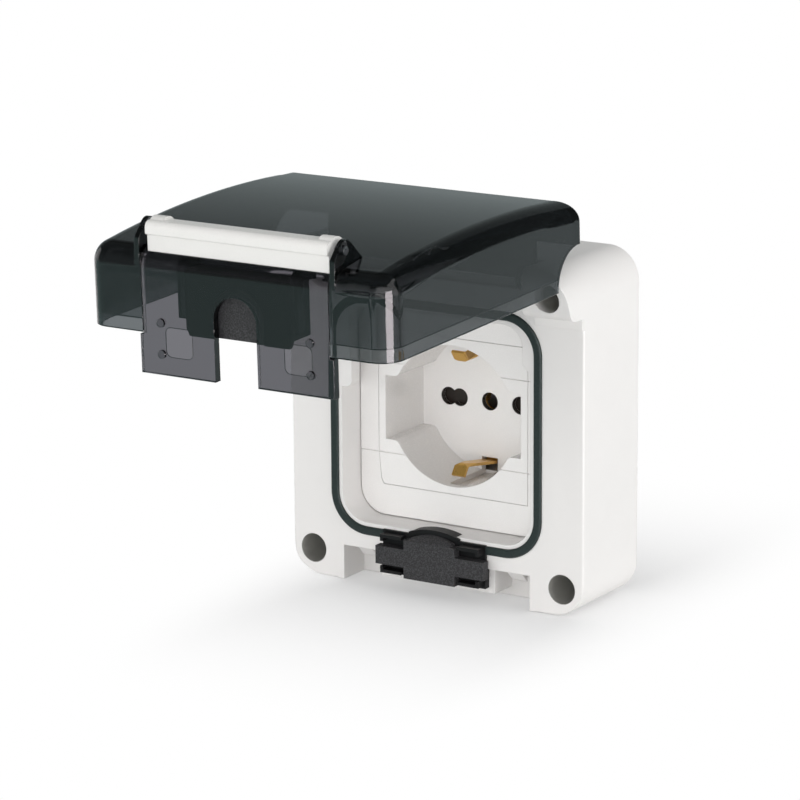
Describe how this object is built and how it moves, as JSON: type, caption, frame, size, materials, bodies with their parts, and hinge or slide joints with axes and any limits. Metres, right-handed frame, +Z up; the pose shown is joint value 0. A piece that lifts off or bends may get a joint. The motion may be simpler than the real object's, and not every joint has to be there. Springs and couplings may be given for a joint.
{
  "type": "panel-mounted socket outlet with hinged lid",
  "caption": "Square panel socket: pale moulded frame, sealed opening, recessed earthed socket and a smoked hinged lid with a pull latch and a cable seal.",
  "frame": {"origin": "centre of the four fixing holes, on the back face that lies on the panel", "axes": "+Z up, +X to the right seen from the front, +Y into the panel"},
  "size_m": [0.091, 0.1432, 0.116],
  "materials": {
    "pale_grey_moulding": "fine satin",
    "white_moulding": "satin gloss",
    "smoked_clear": "polished, clear, smoked",
    "seal_rubber": "matt",
    "holder_black": "satin",
    "brass": "rolled",
    "zinc_steel": "zinc plated",
    "shutter_brown": "satin"
  },
  "bodies": {
    "frame": {"front_frame": "pale_grey_moulding", "panel_gasket": "seal_rubber", "lid_gasket": "seal_rubber", "frame_seal_holder": "holder_black", "frame_seal_pad": "seal_rubber", "device_bezel": "white_moulding", "bezel_screws": "zinc_steel", "socket_front": "white_moulding", "socket_rear_cover": "white_moulding", "rear_cover_screws": "zinc_steel", "earth_clip": "brass", "line_contact": "brass", "neutral_contact": "brass", "line_terminal": "brass", "earth_terminal": "brass", "neutral_terminal": "brass", "terminal_screws": "zinc_steel", "shutter_spring_left": "zinc_steel", "shutter_spring_right": "zinc_steel", "hinge_pin_left": "zinc_steel", "hinge_pin_right": "zinc_steel"},
    "lid": {"lid_shell": "smoked_clear", "latch_pins": "zinc_steel", "lid_seal_carrier": "holder_black", "lid_seal_pad": "seal_rubber"},
    "latch": {"latch_apron": "smoked_clear", "latch_bar": "pale_grey_moulding"},
    "left_shutter": {"shutter_left": "shutter_brown"},
    "right_shutter": {"shutter_right": "shutter_brown"}
  },
  "joints": [
    {"name": "lid_hinge", "type": "hinge", "parent": "frame", "child": "lid", "pos_m": [0, -0.0308, 0.04315], "axis": [-1, 0, 0], "range_deg": [-88, 6]},
    {"name": "latch_hinge", "type": "hinge", "parent": "lid", "child": "latch", "pos_m": [0, -0.11628, 0.06534], "axis": [-1, 0, 0], "range_deg": [0, 10], "stiffness_Nm_per_rad": 0.06},
    {"name": "left_shutter_slide", "type": "slide", "parent": "frame", "child": "left_shutter", "axis": [0, 0, 1], "range_m": [0, 0.006], "stiffness_N_per_m": 60, "springref_m": -0.002, "deforming": ["shutter_spring_left"]},
    {"name": "right_shutter_slide", "type": "slide", "parent": "frame", "child": "right_shutter", "axis": [0, 0, 1], "range_m": [0, 0.006], "stiffness_N_per_m": 60, "springref_m": -0.002, "deforming": ["shutter_spring_right"]}
  ]
}
